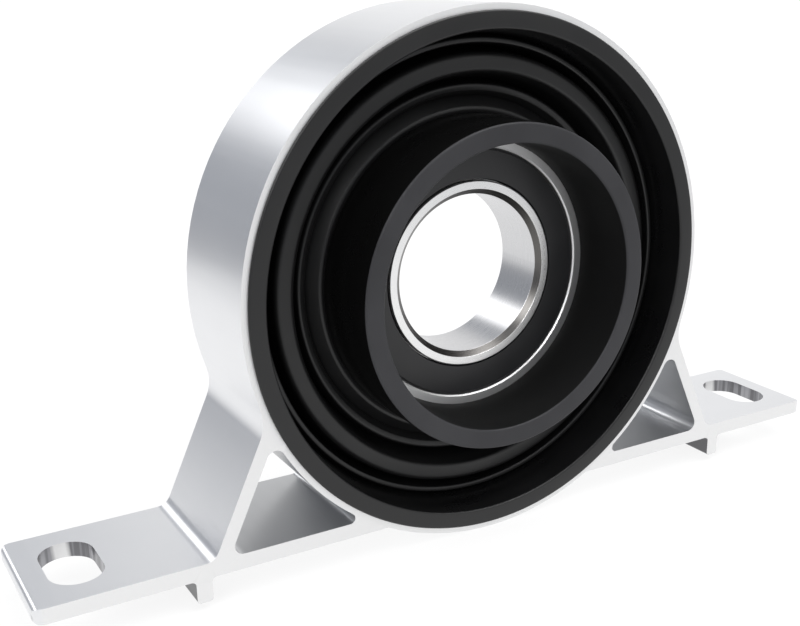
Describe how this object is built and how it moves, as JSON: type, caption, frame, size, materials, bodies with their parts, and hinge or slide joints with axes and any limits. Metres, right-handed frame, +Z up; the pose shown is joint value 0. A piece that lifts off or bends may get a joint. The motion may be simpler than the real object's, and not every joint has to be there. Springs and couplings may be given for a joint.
{
  "type": "driveshaft centre bearing",
  "caption": "Sealed ball bearing in a folded rubber ring inside an aluminium bracket with slotted feet, to carry a propeller shaft's middle.",
  "frame": {"origin": "on the bearing's axis, at the middle of the bearing's width", "axes": "+Y along the shaft towards the back, so the front with the rubber flange faces -Y; +Z up; +X along the base, to the right seen from the front"},
  "size_m": [0.171, 0.0314, 0.0972],
  "materials": {
    "bracket_aluminium": "satin",
    "sleeve_steel": "zinc plated",
    "ring_rubber": "matte",
    "cup_rubber": "matte",
    "race_steel": "polished",
    "seal_rubber": "smooth",
    "cage_steel": "pressed"
  },
  "bodies": {
    "mounting": {"bracket": "bracket_aluminium", "outer_sleeve": "sleeve_steel", "rubber_ring": "ring_rubber"},
    "hub": {"hub_cup": "cup_rubber", "outer_race": "race_steel", "seal_front": "seal_rubber", "seal_rear": "seal_rubber"},
    "inner_ring": {"inner_race": "race_steel"},
    "ball_cage": {"cage_front": "cage_steel", "cage_rear": "cage_steel", "cage_rivets": "cage_steel"},
    "ball_01_roller": {"ball_01": "race_steel"},
    "ball_02_roller": {"ball_02": "race_steel"},
    "ball_03_roller": {"ball_03": "race_steel"},
    "ball_04_roller": {"ball_04": "race_steel"},
    "ball_05_roller": {"ball_05": "race_steel"},
    "ball_06_roller": {"ball_06": "race_steel"},
    "ball_07_roller": {"ball_07": "race_steel"},
    "ball_08_roller": {"ball_08": "race_steel"},
    "ball_09_roller": {"ball_09": "race_steel"},
    "ball_10_roller": {"ball_10": "race_steel"},
    "ball_11_roller": {"ball_11": "race_steel"}
  },
  "joints": [
    {"name": "hub_axial_float", "type": "slide", "parent": "mounting", "child": "hub", "axis": [0, 1, 0], "range_m": [-0.004, 0.004], "stiffness_N_per_m": 10000, "deforming": ["rubber_ring"]},
    {"name": "inner_spin", "type": "hinge", "parent": "hub", "child": "inner_ring", "pos_m": [0, 0, 0], "axis": [0, 1, 0], "continuous": true},
    {"name": "cage_spin", "type": "hinge", "parent": "hub", "child": "ball_cage", "pos_m": [0, 0, 0], "axis": [0, 1, 0], "continuous": true},
    {"name": "ball_01_spin", "type": "hinge", "parent": "ball_cage", "child": "ball_01_roller", "pos_m": [0, 0, 0.02125], "axis": [0, 1, 0], "continuous": true},
    {"name": "ball_02_spin", "type": "hinge", "parent": "ball_cage", "child": "ball_02_roller", "pos_m": [-0.01149, 0, 0.01788], "axis": [0, 1, 0], "continuous": true},
    {"name": "ball_03_spin", "type": "hinge", "parent": "ball_cage", "child": "ball_03_roller", "pos_m": [-0.01933, 0, 0.00883], "axis": [0, 1, 0], "continuous": true},
    {"name": "ball_04_spin", "type": "hinge", "parent": "ball_cage", "child": "ball_04_roller", "pos_m": [-0.02103, 0, -0.00302], "axis": [0, 1, 0], "continuous": true},
    {"name": "ball_05_spin", "type": "hinge", "parent": "ball_cage", "child": "ball_05_roller", "pos_m": [-0.01606, 0, -0.01392], "axis": [0, 1, 0], "continuous": true},
    {"name": "ball_06_spin", "type": "hinge", "parent": "ball_cage", "child": "ball_06_roller", "pos_m": [-0.00599, 0, -0.02039], "axis": [0, 1, 0], "continuous": true},
    {"name": "ball_07_spin", "type": "hinge", "parent": "ball_cage", "child": "ball_07_roller", "pos_m": [0.00599, 0, -0.02039], "axis": [0, 1, 0], "continuous": true},
    {"name": "ball_08_spin", "type": "hinge", "parent": "ball_cage", "child": "ball_08_roller", "pos_m": [0.01606, 0, -0.01392], "axis": [0, 1, 0], "continuous": true},
    {"name": "ball_09_spin", "type": "hinge", "parent": "ball_cage", "child": "ball_09_roller", "pos_m": [0.02103, 0, -0.00302], "axis": [0, 1, 0], "continuous": true},
    {"name": "ball_10_spin", "type": "hinge", "parent": "ball_cage", "child": "ball_10_roller", "pos_m": [0.01933, 0, 0.00883], "axis": [0, 1, 0], "continuous": true},
    {"name": "ball_11_spin", "type": "hinge", "parent": "ball_cage", "child": "ball_11_roller", "pos_m": [0.01149, 0, 0.01788], "axis": [0, 1, 0], "continuous": true}
  ],
  "couplings": [
    {"joint": "cage_spin", "follows": "inner_spin", "ratio": 0.41595},
    {"joint": "ball_01_spin", "follows": "inner_spin", "ratio": -2.8905},
    {"joint": "ball_02_spin", "follows": "inner_spin", "ratio": -2.8905},
    {"joint": "ball_03_spin", "follows": "inner_spin", "ratio": -2.8905},
    {"joint": "ball_04_spin", "follows": "inner_spin", "ratio": -2.8905},
    {"joint": "ball_05_spin", "follows": "inner_spin", "ratio": -2.8905},
    {"joint": "ball_06_spin", "follows": "inner_spin", "ratio": -2.8905},
    {"joint": "ball_07_spin", "follows": "inner_spin", "ratio": -2.8905},
    {"joint": "ball_08_spin", "follows": "inner_spin", "ratio": -2.8905},
    {"joint": "ball_09_spin", "follows": "inner_spin", "ratio": -2.8905},
    {"joint": "ball_10_spin", "follows": "inner_spin", "ratio": -2.8905},
    {"joint": "ball_11_spin", "follows": "inner_spin", "ratio": -2.8905}
  ]
}
